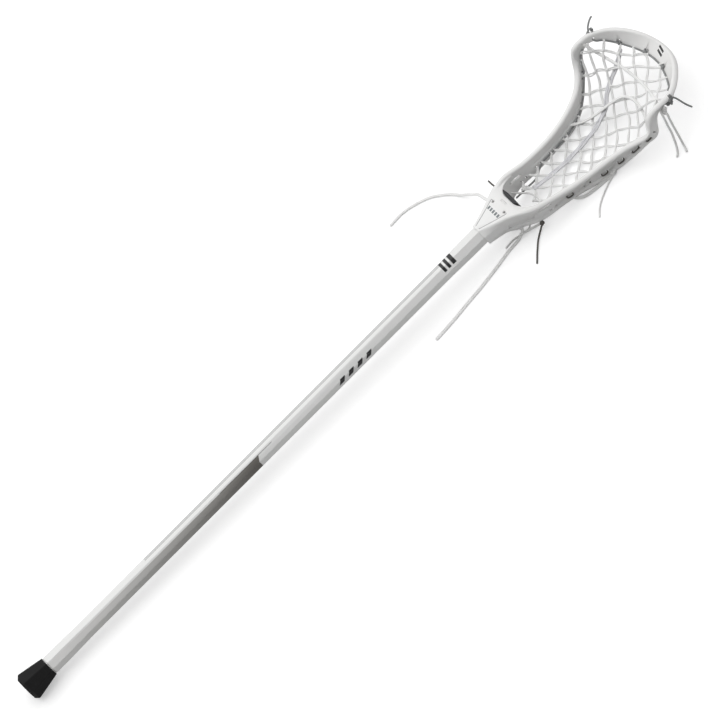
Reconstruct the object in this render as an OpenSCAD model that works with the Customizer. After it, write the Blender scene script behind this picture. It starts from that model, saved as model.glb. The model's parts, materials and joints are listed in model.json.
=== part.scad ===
// Women's field lacrosse stick, lying face up on a table.
// The stick frame has +X from the butt to the scoop along the shaft's axis, +Z out of the open
// face of the head and +Y to the left. place() tips that frame so that the end cap and the two
// lower rails of the head touch z = 0. The origin is under the middle of the stick.

/* [Shaft] */
// Length of the shaft, from its butt end to its end inside the head
shaft_len = 814; // [500:1:900]
// Size of the shaft across its flats
shaft_af = 22.2; // [20:0.1:25]
// Size across the flats where the shaft swells, at the cap and at the head
swell_af = 23.8; // [22.3:0.1:27]
// Wall of the shaft tube
shaft_wall = 1.5; // [1:0.1:2.5]

/* [End cap] */
// Length of the end cap
cap_len = 39; // [25:0.5:60]
// Thickness of the closed end of the cap
cap_floor = 5; // [3:0.5:10]
// Largest size of the cap across its flats
cap_af = 37.8; // [32:0.1:45]
// Size of the cap's end face across its flats
cap_face_af = 29.5; // [24:0.1:32]
// Wall of the cap's sleeve at its mouth
cap_wall = 1.4; // [1:0.1:3]
// Clearance between the cap's sleeve and the shaft, on each side
cap_gap = 0.25; // [0.1:0.05:0.6]

/* [Head] */
// Length of the head, from the mouth of its throat to the tip of the scoop
head_len = 320; // [270:1:385]
// Width of the head over the shoulders
head_w = 175; // [146:1:215]
// Depth of the socket that takes the shaft
socket_depth = 48; // [36:1:60]
// Clearance between the socket and the shaft, on each side
socket_gap = 0.15; // [0.1:0.05:0.4]
// Thickness of the head's side walls
wall_t = 3.4; // [2.4:0.1:4.4]
// Thickness of the bead along the lower edge of the walls
bead_t = 4.8; // [4.5:0.1:6]
// Width of the rail along the upper edge
rail_w = 8; // [6:0.1:10]
// Diameter of the string holes
hole_d = 3.4; // [2.8:0.1:4]

/* [Head screw] */
// Diameter of the screw's shank
screw_d = 3.5; // [3:0.1:4.5]
// Length of the screw under its head
screw_len = 11; // [10:0.5:12]
// Diameter of the screw's head
screw_head_d = 7; // [6:0.1:8]
// Thickness of the screw's head
screw_head_t = 2.6; // [2:0.1:3]
// Clearance around the screw
screw_gap = 0.2; // [0.1:0.05:0.4]

/* [Pocket and strings] */
// Thickness of the pocket's mesh
mesh_t = 1.8; // [1.2:0.1:3]
// Thickness of the foam ball stop
stop_t = 4.6; // [3:0.1:7]
// Diameter of the sidewall and top strings
string_d = 2.4; // [2:0.1:3]
// Diameter of the shooting strings
shooter_d = 3; // [2.4:0.1:3.6]
// Width of the thick strand along the middle of the pocket
runner_w = 6; // [4:0.5:9]
// Width of the throat laces
lace_w = 4.2; // [3:0.1:5]

/* [Hidden] */

// Along the shaft
seat_gap = 0.3;
shaft_x = cap_floor + seat_gap;
mouth_x = shaft_x + shaft_len - socket_depth;
tip_x = mouth_x + head_len;
cap_wide_x = 4.5;
cap_mouth_af = shaft_af + 2 * (cap_gap + cap_wall);
swell_start = 0.8;
swell_flat = 22;
swell_run = 38;
screw_at = 24;
screw_x = mouth_x + screw_at;

// The head's outline, left half, in parts of its length and of half its width:
// rail [x, y, z], lower edge [x, y, z], and how far the wall stands inside the rail's outer edge.
// Heights are millimetres above the shaft's axis.
outline = [
    [0.144, 0.337, 11.0, 0.144, 0.194, -22.5, 1.0],
    [0.191, 0.427, 7.6, 0.188, 0.286, -25.0, 1.0],
    [0.231, 0.462, 4.4, 0.228, 0.335, -26.3, 1.0],
    [0.303, 0.478, -3.3, 0.303, 0.366, -28.7, 1.0],
    [0.378, 0.514, -8.5, 0.378, 0.406, -32.3, 1.0],
    [0.453, 0.552, -11.2, 0.453, 0.469, -36.0, 1.0],
    [0.528, 0.608, -10.4, 0.528, 0.511, -37.0, 1.0],
    [0.600, 0.697, -8.2, 0.600, 0.606, -32.7, 1.0],
    [0.647, 0.794, -5.2, 0.647, 0.709, -25.0, 1.0],
    [0.683, 0.909, 1.5, 0.684, 0.794, -17.2, 1.0],
    [0.708, 0.994, 13.0, 0.713, 0.861, -11.0, 1.0],
    [0.730, 0.998, 23.5, 0.734, 0.912, -3.0, 1.0],
    [0.753, 0.974, 28.8, 0.753, 0.918, 9.0, 0.95],
    [0.778, 0.963, 30.6, 0.778, 0.887, 18.0, 0.88],
    [0.816, 0.951, 30.0, 0.809, 0.857, 20.0, 0.8],
    [0.856, 0.909, 26.4, 0.842, 0.794, 13.5, 0.72],
    [0.891, 0.823, 23.2, 0.866, 0.709, 6.0, 0.66],
    [0.925, 0.691, 20.4, 0.884, 0.583, 2.6, 0.62],
    [0.953, 0.549, 17.0, 0.898, 0.446, 1.0, 0.6],
    [0.977, 0.389, 12.8, 0.909, 0.309, 0.4, 0.6],
    [0.994, 0.206, 9.0, 0.918, 0.154, 0.1, 0.6],
    [1.000, 0.000, 7.5, 0.921, 0.000, 0.0, 0.6]];
steps = 3;

// The throat's sections: x from the mouth, then half width and height of the top edge, half
// width and height of the shoulder, of the waist and of the bottom edge.
throat = [
    [0, 7.5, 13.6, 13.6, 6.4, 13.6, -6.4, 7.5, -17.0],
    [24, 18.0, 12.7, 17.6, 5.0, 15.0, -8.0, 11.0, -20.5],
    [37, 24.5, 13.0, 23.2, 4.0, 20.0, -10.0, 17.0, -25.0],
    [49, 31.2, 11.4, 29.2, 3.0, 25.0, -12.0, 20.5, -26.5],
    [61, 36.0, 6.4, 34.0, -2.0, 30.0, -13.0, 27.0, -23.0],
    [76, 38.0, 1.0, 35.0, -6.0, 33.2, -13.0, 31.6, -19.0]];

// Inner end of the throat, half of its plan: x from the end wall and half width
end_wall_x = socket_depth + 5.5;
throat_end = [[0, 0], [0.5, 12], [3.5, 19.5], [9.5, 26], [18.5, 30.4], [34.5, 32.2]];

// The screw's seat in the underside of the throat, and the holes that the throat laces leave by
screw_seat = throat[1][8] + screw_head_t + 0.5;
lace_holes = [[38.4, 12.4], [38.4, -12.4]];

// Height of the pocket along its middle: share of the head's length and height
pocket_mid = [[0.19, -21], [0.3, -27], [0.42, -31.5], [0.54, -33], [0.66, -25], [0.74, -14],
              [0.8, -4], [0.86, 0.5], [0.93, 1.2]];

// Routes of the strings, in the head's frame: x from the mouth, z from the shaft's axis.
// They are laid out on a head of this length and width, and stretch with it.
laid_len = 320;
laid_w = 175;
runner_route = [[84, 14, -23], [99, 13, -26], [134, 13, -30], [164, 15, -31], [189, 16, -28],
                [214, 21, -21], [227, 29, -14], [241, 34, -8], [255, 37, -2], [268, 43, 1.5],
                [277, 50, 3.5]];
upper_shooter = [[250, 78, 24], [253, 68, 14], [258, 50, 5], [263, 26, 0], [265, 0, -2],
                 [264, -26, 0], [261, -50, 5], [257, -68, 14], [255, -80, 19]];
lower_shooter = [[170, 46, -27], [184, 36, -28], [201, 26, -24], [222, 14, -15], [238, 2, -9],
                 [244, -16, -8], [240, -40, -11], [231, -62, -12], [225, -76, -9]];
bottom_route = [[52.5, 47, 7.5], [53, 36, 5], [56, 31, -2], [61, 26, -12], [69, 21, -20],
                [77, 12, -23], [80, 0, -24], [77, -12, -23], [69, -21, -21], [64, -26, -23],
                [62, -31, -26]];
side_lace_route = [[110, -37, -29], [113, -41, -31], [120, -44, -34], [129, -46, -35.2],
                   [140, -47.5, -35.6], [151, -48.5, -35.7], [160, -50, -35.2], [165, -51, -34.4]];

// Knots: centre and diameter, in the head's frame
bottom_knot = [[62, -32.5, -27], 6.5];
side_knot = [[164, -51, -34.2], 5.5];
left_knot = [[262, 84, 26], 6];
right_knot = [[271, -79, 16], 8];

// Routes of the loose ends, in the table's frame: x from the mouth, z above the table
left_lace_route = [[36, 21.5, 34.4], [36, 27, 34], [34.5, 38, 32.5], [32.5, 57, 26],
                   [28, 72, 16.5], [24, 86, 8], [18, 98, 2.6], [13, 108, 1], [2, 121, 1],
                   [-11, 132, 1], [-29, 140, 1], [-47, 144, 1], [-68, 143, 1]];
right_lace_route = [[40, -18, 13], [39.5, -20, 11], [37, -20.5, 7], [32, -19, 3], [24, -19.5, 1],
                    [10, -21, 1], [-11, -25.5, 1], [-35, -30, 1], [-47, -32, 1], [-71, -35, 1],
                    [-95, -38.5, 1], [-127, -41.5, 1]];
right_tail_route = [[51, -22, 12], [50, -22.5, 9.5], [46, -21, 5], [40, -18, 2.2],
                    [33, -15.5, 1.2], [25, -13.5, 1.2], [17, -13.7, 1.2], [10, -14.8, 1.2]];
bottom_tail_route = [[62, -33, 8], [58, -33.5, 5], [54, -34.5, 2.4], [49, -37.5, 1.2],
                     [44, -42, 1.2], [34, -53.5, 1.2], [23, -67.5, 1.2]];
side_tail_route = [[164, -52, 3.4], [158, -53, 1.5], [150, -56, 1.2], [136, -63.5, 1.2],
                   [124, -72.5, 1.2], [115, -84, 1.2]];
front_tail_route = [[254.5, -79.3, 58.2], [252.5, -85, 55.5], [250.8, -87.5, 49], [248.5, -89, 39],
                    [246.6, -90.5, 28], [243.5, -92.5, 18], [239.5, -95.5, 8],
                    [235.5, -98.5, 2.6], [231, -102, 1.5]];
back_tail_route = [[255.5, -79, 58], [257.5, -85.5, 53], [255.5, -88, 44], [253, -90, 31],
                   [250.6, -92.5, 18], [248.5, -95, 8], [246.8, -98.5, 2.6], [244, -107, 1.5]];
left_end_route = [[264, 84, 67], [267, 89, 67.5], [272, 96, 65], [277, 103, 61],
                  [281, 108.5, 56.5]];
right_end_route = [[273, -77.6, 57], [277.4, -78.4, 53.8], [280, -81, 47], [282.5, -83, 37],
                   [286, -84.5, 27.5]];

function fit(p) = [p[0] * head_len / laid_len, p[1] * head_w / laid_w, p[2]];
function fit_all(route) = [for (p = route) fit(p)];
// A loose end moved as the point that it leaves from moves
function tied(route, from) = [for (p = route) p + fit(from) - from];
function unit(v) = v / norm(v);
function flip(row) = [row[0], -row[1], row[2], row[3], -row[4], row[5], row[6]];

// A smooth curve through the points p, at parameter t of segment i
function curve(p, i, t) =
    let (a = p[max(i - 1, 0)], b = p[i], c = p[min(i + 1, len(p) - 1)],
         d = p[min(i + 2, len(p) - 1)])
    0.5 * (2 * b + (c - a) * t + (2 * a - 5 * b + 4 * c - d) * t * t
           + (3 * b - a - 3 * c + d) * t * t * t);
function smooth(p, k) =
    concat([for (i = [0:len(p) - 2]) for (j = [0:k - 1]) curve(p, i, j / k)], [p[len(p) - 1]]);

// The hoop: both halves of the outline in millimetres, as stations from left to right
function in_mm(row) =
    [row[0] * head_len, row[1] * head_w / 2, row[2], row[3] * head_len, row[4] * head_w / 2,
     row[5], row[6] * rail_w];
half = [for (row = outline) in_mm(row)];
last = len(half) - 1;
hoop = smooth(concat(half, [for (i = [1:last]) flip(half[last - i])]), steps);
tip_i = last * steps;
end_i = 2 * tip_i;

// At each station: foot of the wall, direction up the wall, outward normal, height of the wall
function rail_at(i) = [hoop[i][0], hoop[i][1], hoop[i][2]];
function foot_at(i) = [hoop[i][3], hoop[i][4], hoop[i][5]];
function out_at(i) =
    let (d = rail_at(min(i + 1, end_i)) - rail_at(max(i - 1, 0)))
    unit([-d[1], d[0], 0]);
function top_at(i) = rail_at(i) - out_at(i) * hoop[i][6];
function up_at(i) = unit(top_at(i) - foot_at(i));
function normal_at(i) = unit(out_at(i) - up_at(i) * (out_at(i) * up_at(i)));
function height_at(i) = norm(top_at(i) - foot_at(i));
function on_wall(i, up, out) = foot_at(i) + up_at(i) * up + normal_at(i) * out;

// Section of the wall with its bead and its rail: [up, out]
function section(h) =
    let (r = min(7.6, h * 0.52), b = min(4.6, h * 0.3))
    [[0, 1], [1, 0], [h - 1.4, 0], [h - 0.2, 0.8], [h + 0.7, rail_w * 0.3],
     [h + 0.6, rail_w * 0.65], [h - 0.08 * r, rail_w * 0.92], [h - 0.34 * r, rail_w],
     [h - 0.63 * r, rail_w * 0.88], [h - 0.84 * r, wall_t + 1], [h - r, wall_t], [b, wall_t],
     [0.74 * b, bead_t], [0.26 * b, bead_t], [0, bead_t - 1]];
rings = [for (i = [0:end_i]) [for (p = section(height_at(i))) on_wall(i, p[0], p[1])]];

// How the stick rests: lowest point of the head and of the cap
head_low = min([for (ring = rings) for (p = ring) p[2]]);
head_low_x = mouth_x + [for (ring = rings) for (p = ring) if (p[2] == head_low) p[0]][0];
tilt = atan((-head_low - cap_af / 2) / (head_low_x - cap_wide_x));
lift = cap_af / 2 * cos(tilt) - cap_wide_x * sin(tilt);
mid_x = tip_x / 2;

// A skin over rings of points, closed at both ends
module skin(rings) {
    m = len(rings[0]);
    n = len(rings);
    points = [for (ring = rings) for (p = ring) p];
    sides = [for (i = [0:n - 2]) for (j = [0:m - 1]) let (k = (j + 1) % m)
             each [[i * m + j, i * m + k, (i + 1) * m + j],
                   [i * m + k, (i + 1) * m + k, (i + 1) * m + j]]];
    ends = [[for (j = [0:m - 1]) m - 1 - j], [for (j = [0:m - 1]) (n - 1) * m + j]];
    polyhedron(points, concat(sides, ends), convexity = 8);
}

// A tube of n sides along a route. Its sides start from the direction ref.
function ring_at(p, i, w, t, n, ref) =
    let (d = unit(p[min(i + 1, len(p) - 1)] - p[max(i - 1, 0)]), s = unit(cross(d, ref)),
         u = cross(s, d))
    [for (j = [0:n - 1]) p[i] + s * (w / 2 * cos(360 * j / n + 180 / n))
                         + u * (t / 2 * sin(360 * j / n + 180 / n))];
module tube(route, w, t = 0, k = 3, n = 8, ref = [0, 0, 1]) {
    p = smooth(route, k);
    skin([for (i = [0:len(p) - 1]) ring_at(p, i, w, t == 0 ? w : t, n, ref)]);
}

// A solid turned about the shaft's axis, with eight flats. The profile is [across flats, x].
module octagon(profile) {
    rotate([0, 90, 0]) rotate([0, 0, 22.5])
        rotate_extrude($fn = 8)
            polygon([for (p = profile) [p[0] / 2 / cos(22.5), p[1]]]);
}

module shaft() {
    end_x = shaft_x + shaft_len;
    bore_af = shaft_af - 2 * shaft_wall;
    color("gainsboro") difference() {
        octagon([[bore_af, shaft_x], [shaft_af, shaft_x], [shaft_af, cap_len + swell_start],
                 [swell_af, cap_len + 2 * swell_start], [swell_af, cap_len + swell_flat],
                 [shaft_af, cap_len + swell_flat + swell_run],
                 [shaft_af, mouth_x - swell_flat - swell_run], [swell_af, mouth_x - swell_flat],
                 [swell_af, end_x], [bore_af, end_x]]);
        translate([screw_x, 0, -shaft_af])
            cylinder(d = screw_d + 2 * screw_gap, h = shaft_af, $fn = 32);
    }
}

module end_cap() {
    bore_af = shaft_af + 2 * cap_gap;
    mid_af = (cap_af + cap_mouth_af) / 2 + 1;
    color("#1c1c1e")
        octagon([[0, 0], [cap_face_af, 0], [cap_af, cap_wide_x], [mid_af, cap_len / 2],
                 [cap_mouth_af, cap_len], [bore_af, cap_len], [bore_af, cap_floor],
                 [0, cap_floor]]);
}

// Axes turned so that +Z runs along the wall's normal at station i
module at_wall(i, up, out) {
    u = up_at(i);
    w = normal_at(i);
    v = cross(w, u);
    p = on_wall(i, up, out);
    multmatrix([[u[0], v[0], w[0], p[0]], [u[1], v[1], w[1], p[1]], [u[2], v[2], w[2], p[2]],
                [0, 0, 0, 1]]) children();
}

// The truss: slots under the rail, from station to station, with a share of the wall's height
slots = [[6, 9, 0.62, 5], [10, 14, 0.56, 4], [15, 19, 0.52, 4], [20, 22, 0.5, 4]];
module slot(i, j, share, width) {
    hull() for (k = [i:j])
        at_wall(k, height_at(k) * share, -2) cylinder(d = width, h = 9, $fn = 12);
}

// Stations of the string holes: pairs along the lower edge, and those in the scoop
side_holes = [7, 8, 10, 11, 13, 14, 16, 17, 19, 20, 22, 24, 27, 29, 32];
scoop_holes = [43, 50, 59];
hole_up = 7.4;
hole_turn = 18;
scoop_hole_up = 4.5;

module head_cuts() {
    for (s = [0, 1]) {
        for (k = slots) slot(s == 0 ? k[0] : end_i - k[1], s == 0 ? k[1] : end_i - k[0], k[2], k[3]);
        for (k = side_holes)
            at_wall(s == 0 ? k : end_i - k, hole_up, -2)
                rotate(hole_turn) cylinder(d = hole_d, h = 9, $fn = 10);
        for (k = scoop_holes)
            at_wall(s == 0 ? k : end_i - k, scoop_hole_up, -2)
                cylinder(d = hole_d, h = 9, $fn = 10);
    }
}

function throat_ring(r) =
    let (right = [[0, r[2] + 0.6], [r[1] - 2, r[2]], [r[1], r[2] - 1.8], [r[3], r[4]],
                  [r[5], r[6]], [r[7], r[8] + 2], [r[7] - 2, r[8]], [0, r[8]]])
    concat([for (p = right) [r[0], p[0], p[1]]],
           [for (i = [6:-1:1]) [r[0], -right[i][0], right[i][1]]]);

module throat_body() {
    skin([for (r = smooth(throat, 3)) throat_ring(r)]);
}

module throat_opening() {
    left = smooth(throat_end, 3);
    plan = concat(left, [for (i = [len(left) - 1:-1:1]) [left[i][0], -left[i][1]]]);
    translate([end_wall_x, 0, -50]) linear_extrude(100) polygon(plan);
}

module head() {
    socket_af = swell_af + 2 * socket_gap;
    color("white") difference() {
        union() {
            skin(rings);
            throat_body();
        }
        throat_opening();
        head_cuts();
        octagon([[0, -5], [socket_af, -5], [socket_af, socket_depth + seat_gap],
                 [0, socket_depth + seat_gap]]);
        translate([screw_at, 0, -40]) cylinder(d = screw_d + 2 * screw_gap, h = 40, $fn = 32);
        translate([screw_at, 0, -40])
            cylinder(d = screw_head_d + 2 * screw_gap, h = 40 + screw_seat, $fn = 32);
        for (p = lace_holes)
            translate([p[0], p[1], 6]) cylinder(d = hole_d, h = 10, $fn = 20);
    }
}

module ball_stop() {
    back = smooth([[0.3, 0], [0.8, 11], [3.3, 16]], 3);
    front = [[3.9, 15.6], [stop_t - 0.1, 11], [stop_t + 0.3, 5], [stop_t + 0.3, 0]];
    side = concat(back, front);
    color("#2a2a2c") translate([end_wall_x, 0, -10])
        linear_extrude(22)
            polygon(concat(side, [for (i = [len(side) - 2:-1:1]) [side[i][0], -side[i][1]]]));
}

module head_screw() {
    color("silver") translate([screw_at, 0, screw_seat - screw_head_t]) difference() {
        union() {
            cylinder(d = screw_head_d, h = screw_head_t, $fn = 40);
            translate([0, 0, screw_head_t]) cylinder(d = screw_d, h = screw_len, $fn = 32);
        }
        cube([4, 1, 2.4], center = true);
        cube([1, 4, 2.4], center = true);
    }
}

// Where the pocket hangs on the wall: a line of points just inside it
hang_gap = 0.4;
function hang_at(i) = on_wall(i, min(hole_up, 0.4 * height_at(i)), -string_d / 2 - hang_gap);

// Height of the pocket's middle at x
mid_curve = smooth([for (p = pocket_mid) [p[0] * head_len, p[1]]], 4);
function mid_z(x) = lookup(x, mid_curve);

mesh_from = 6;
mesh_to = tip_i - 4;
across = 8;
function mesh_point(i, v) =
    let (a = hang_at(i), b = hang_at(end_i - i), m = (a + b) / 2)
    m + (a - b) / 2 * v + [0, 0, (mid_z(m[0]) - m[2]) * (1 - v * v)];
function mesh_ring(i) =
    let (top = [for (j = [0:across]) mesh_point(i, 2 * j / across - 1) + [0, 0, mesh_t / 2]],
         low = [for (j = [across:-1:0]) mesh_point(i, 2 * j / across - 1) - [0, 0, mesh_t / 2]])
    concat(top, low);

module pocket_mesh() {
    color("whitesmoke") skin([for (i = [mesh_from:mesh_to]) mesh_ring(i)]);
}

module pocket_runner() {
    color("gainsboro") tube(fit_all(runner_route), runner_w, 3.2);
}

module knot(k) {
    translate(fit(k[0])) sphere(d = k[1], $fn = 24);
}

// The string that hangs the pocket on the scoop, with a hitch at each hole in front
module top_string() {
    first = 43;
    inside = [for (i = [first:2:end_i - first - 2]) on_wall(i, 2.4, -string_d / 2 - 0.1)];
    route = concat([fit(left_knot[0])], inside, [fit(right_knot[0])]);
    color("dimgray") {
        tube(route, string_d, k = 1);
        for (i = scoop_holes) if (i > first) for (j = [i, end_i - i])
            translate(on_wall(j, 3.2, -1.2)) sphere(d = 5, $fn = 24);
        knot(left_knot);
        knot(right_knot);
    }
}

module sidewall_string(s) {
    stations = [for (i = [8:3:38]) s > 0 ? i : end_i - i];
    color("dimgray") tube([for (i = stations) hang_at(i)], string_d, k = 1);
}
module left_sidewall_string() sidewall_string(1);
module right_sidewall_string() sidewall_string(-1);

module bottom_string() {
    color("#3a3a3c") {
        tube(bottom_route, string_d);
        translate(bottom_knot[0]) sphere(d = bottom_knot[1], $fn = 24);
    }
}

module upper_shooting_string() {
    color("white") tube(fit_all(upper_shooter), shooter_d);
}

module lower_shooting_string() {
    color("white") tube(fit_all(lower_shooter), shooter_d);
}

module side_lace() {
    color("white") {
        tube(fit_all(side_lace_route), string_d);
        knot(side_knot);
    }
}

// The loose ends. The throat laces are flat, the others are round.
lace_t = 1.6;
module left_throat_lace() {
    color("white") tube(left_lace_route, lace_w, lace_t);
}
module right_throat_lace() {
    color("white") tube(right_lace_route, lace_w, lace_t);
}
module right_throat_tail() {
    color("whitesmoke") tube(right_tail_route, string_d);
}
module bottom_string_tail() {
    color("#3a3a3c") tube(bottom_tail_route, string_d);
}
module side_lace_tail() {
    color("white") tube(tied(side_tail_route, side_knot[0]), string_d);
}
module shooting_tail_front() {
    color("white") tube(tied(front_tail_route, upper_shooter[8]), shooter_d, ref = [1, 0, 0]);
}
module shooting_tail_back() {
    color("white") tube(tied(back_tail_route, upper_shooter[8]), shooter_d, ref = [1, 0, 0]);
}
module top_string_tail_left() {
    color("gray") tube(tied(left_end_route, left_knot[0]), string_d);
}
module top_string_tail_right() {
    color("gray") tube(tied(right_end_route, right_knot[0]), string_d, ref = [1, 0, 0]);
}

// The shaft and its cap, in the stick's frame
translate([-mid_x, 0, lift]) rotate([0, -tilt, 0]) {
    shaft();
    end_cap();
}

// The head and what is on it, with x from the mouth of its throat
translate([-mid_x, 0, lift]) rotate([0, -tilt, 0]) translate([mouth_x, 0, 0]) {
    head();
    ball_stop();
    head_screw();
    pocket_mesh();
    pocket_runner();
    top_string();
    left_sidewall_string();
    right_sidewall_string();
    bottom_string();
    upper_shooting_string();
    lower_shooting_string();
    side_lace();
}

// The loose ends, in the table's frame, with x from the mouth
translate([mouth_x - mid_x, 0, 0]) {
    left_throat_lace();
    right_throat_lace();
    right_throat_tail();
    bottom_string_tail();
    side_lace_tail();
    shooting_tail_front();
    shooting_tail_back();
    top_string_tail_left();
    top_string_tail_right();
}
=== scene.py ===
"""The looks of a women's lacrosse stick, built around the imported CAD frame.

Lengths in the tables are millimetres. Three frames are used, as in the part:
    stick   x from the butt along the shaft's axis, y to the left, z out of the head's open face
    head    the same axes, with x from the mouth of the head's throat
    table   x from the mouth, z above the table (the loose ends of the strings)
"""

import json
import math
import random

import bpy
import numpy as np
from mathutils import Matrix, Vector


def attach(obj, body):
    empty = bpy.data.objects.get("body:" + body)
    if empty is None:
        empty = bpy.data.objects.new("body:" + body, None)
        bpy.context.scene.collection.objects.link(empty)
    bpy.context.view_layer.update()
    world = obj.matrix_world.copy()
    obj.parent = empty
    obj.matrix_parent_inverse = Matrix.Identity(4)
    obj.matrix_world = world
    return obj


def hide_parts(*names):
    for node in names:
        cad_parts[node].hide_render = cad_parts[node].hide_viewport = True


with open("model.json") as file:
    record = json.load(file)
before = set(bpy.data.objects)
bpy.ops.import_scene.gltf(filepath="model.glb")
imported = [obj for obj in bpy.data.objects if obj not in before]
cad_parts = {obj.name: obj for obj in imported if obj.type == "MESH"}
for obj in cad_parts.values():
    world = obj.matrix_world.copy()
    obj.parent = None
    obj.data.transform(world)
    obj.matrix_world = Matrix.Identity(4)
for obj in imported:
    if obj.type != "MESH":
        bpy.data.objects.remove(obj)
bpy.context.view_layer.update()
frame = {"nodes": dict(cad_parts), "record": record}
random.seed(7)

MM = 0.001
MOUTH = 771.3
HEAD_LEN = 320
HEAD_W = 175
WALL_T = 3.4
BEAD_T = 4.8
RAIL_W = 8
HOLE_D = 3.4
HOLE_UP = 7.4
STRING_D = 2.4
SHOOTER_D = 3.0
SHOOTER_LIFT = 1.4  # how far the shooting strings lie above the net's middle
LACE_W = 4.2
FLAT_LACE_W = 5.2  # where the right lace lies flat
LACE_T = 1.6
SWELL_AF = 23.8

butt = next(m for m in frame["record"]["mounts"] if m["name"] == "butt_face")
BUTT = Vector(butt["pos_m"])
ALONG = -Vector(butt["axis"]).normalized()
LEFT = Vector((0, 1, 0))
OUT = ALONG.cross(LEFT)


def axes(origin, x, y, z):
    """A matrix that takes millimetres along x, y and z from origin into the row's frame."""
    m = Matrix.Identity(4)
    for k, v in enumerate((x, y, z)):
        m.col[k] = (v * MM).to_4d()
        m.col[k][3] = 0
    m.col[3] = origin.to_4d()
    return m


HEAD = axes(BUTT + ALONG * MOUTH * MM, ALONG, LEFT, OUT)
TABLE = axes(Vector((BUTT.x + MOUTH * MM, 0, 0)), Vector((1, 0, 0)), LEFT, Vector((0, 0, 1)))


# ---------------------------------------------------------------- camera

VIEW_TILT = math.radians(42)  # how far the camera leans from above towards the stick's right
VIEW_AT = 561.6  # along the stick, the middle of the picture
VIEW_DOWN = -5.5  # across the stick, the middle of the picture
VIEW_WIDTH = 849.6
VIEW_FAR = 12000


def make_camera():
    down = -(LEFT * math.cos(VIEW_TILT) + OUT * math.sin(VIEW_TILT))
    back = OUT * math.cos(VIEW_TILT) - LEFT * math.sin(VIEW_TILT)
    right = (ALONG + down).normalized()
    up = (ALONG - down).normalized()
    target = BUTT + (ALONG * VIEW_AT + down * VIEW_DOWN) * MM
    data = bpy.data.cameras.new("camera")
    data.sensor_fit = "HORIZONTAL"
    data.sensor_width = 36
    data.lens = data.sensor_width * VIEW_FAR / VIEW_WIDTH
    data.clip_start = 0.5
    data.clip_end = 60
    camera = bpy.data.objects.new("camera", data)
    turn = Matrix((right, up, back)).transposed().to_4x4()
    camera.matrix_world = Matrix.Translation(target + back * VIEW_FAR * MM) @ turn
    bpy.context.scene.collection.objects.link(camera)
    bpy.context.scene.camera = camera


make_camera()


# ---------------------------------------------------------------- shaders

class Shader:
    """A material with a Principled shader, and short names for the nodes that feed it."""

    def __init__(self, name, colour, roughness, **sockets):
        self.mat = bpy.data.materials.new(name)
        self.mat.use_nodes = True
        self.tree = self.mat.node_tree
        self.bsdf = self.tree.nodes["Principled BSDF"]
        self.set(self.bsdf, "Base Color", (*colour, 1))
        self.set(self.bsdf, "Roughness", roughness)
        for key, value in sockets.items():
            self.set(self.bsdf, key.replace("_", " "), value)

    def set(self, node, socket, value):
        if isinstance(value, bpy.types.NodeSocket):
            self.tree.links.new(value, node.inputs[socket])
        else:
            node.inputs[socket].default_value = value

    def node(self, kind, inputs=(), **props):
        made = self.tree.nodes.new("ShaderNode" + kind)
        for key, value in props.items():
            setattr(made, key, value)
        for socket, value in dict(inputs).items():
            self.set(made, socket, value)
        return made

    def math(self, operation, a, b=0.0, clamp=False):
        return self.node("Math", {0: a, 1: b}, operation=operation, use_clamp=clamp).outputs[0]

    def dot(self, vector, direction):
        made = self.node("VectorMath", {0: vector, 1: direction}, operation="DOT_PRODUCT")
        return made.outputs["Value"]

    def mix(self, share, a, b):
        made = self.node("Mix", data_type="RGBA")
        self.set(made, 0, share)
        self.set(made, 6, a if isinstance(a, bpy.types.NodeSocket) else (*a, 1))
        self.set(made, 7, b if isinstance(b, bpy.types.NodeSocket) else (*b, 1))
        return made.outputs[2]

    def band(self, value, low, high):
        """1 where value lies between low and high."""
        above, below = self.math("GREATER_THAN", value, low), self.math("LESS_THAN", value, high)
        return self.math("MULTIPLY", above, below)

    def ramp(self, value, low, high, to_low=0.0, to_high=1.0):
        made = self.node("MapRange", {0: value, 1: low, 2: high, 3: to_low, 4: to_high})
        return made.outputs[0]

    def noise(self, vector, scale, detail=3.0, roughness=0.5):
        inputs = {"Vector": vector, "Scale": scale, "Detail": detail, "Roughness": roughness}
        return self.node("TexNoise", inputs).outputs["Fac"]

    def place(self):
        return self.node("TexCoord").outputs["Object"]

    def uv(self):
        return self.node("TexCoord").outputs["UV"]

    def colour(self, value):
        self.set(self.bsdf, "Base Color", value)

    def rough(self, value):
        self.set(self.bsdf, "Roughness", value)

    def bump(self, height, distance, strength=1.0):
        made = self.node("Bump", {"Height": height, "Distance": distance, "Strength": strength})
        self.tree.links.new(made.outputs[0], self.bsdf.inputs["Normal"])

    def stick_place(self, origin=BUTT):
        """Millimetres along, left of and out from the stick's axis."""
        p = self.node("VectorMath", {0: self.place(), 1: tuple(origin)}, operation="SUBTRACT").outputs[0]
        return [self.dot(p, tuple(v / MM)) for v in (ALONG, LEFT, OUT)]


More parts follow.
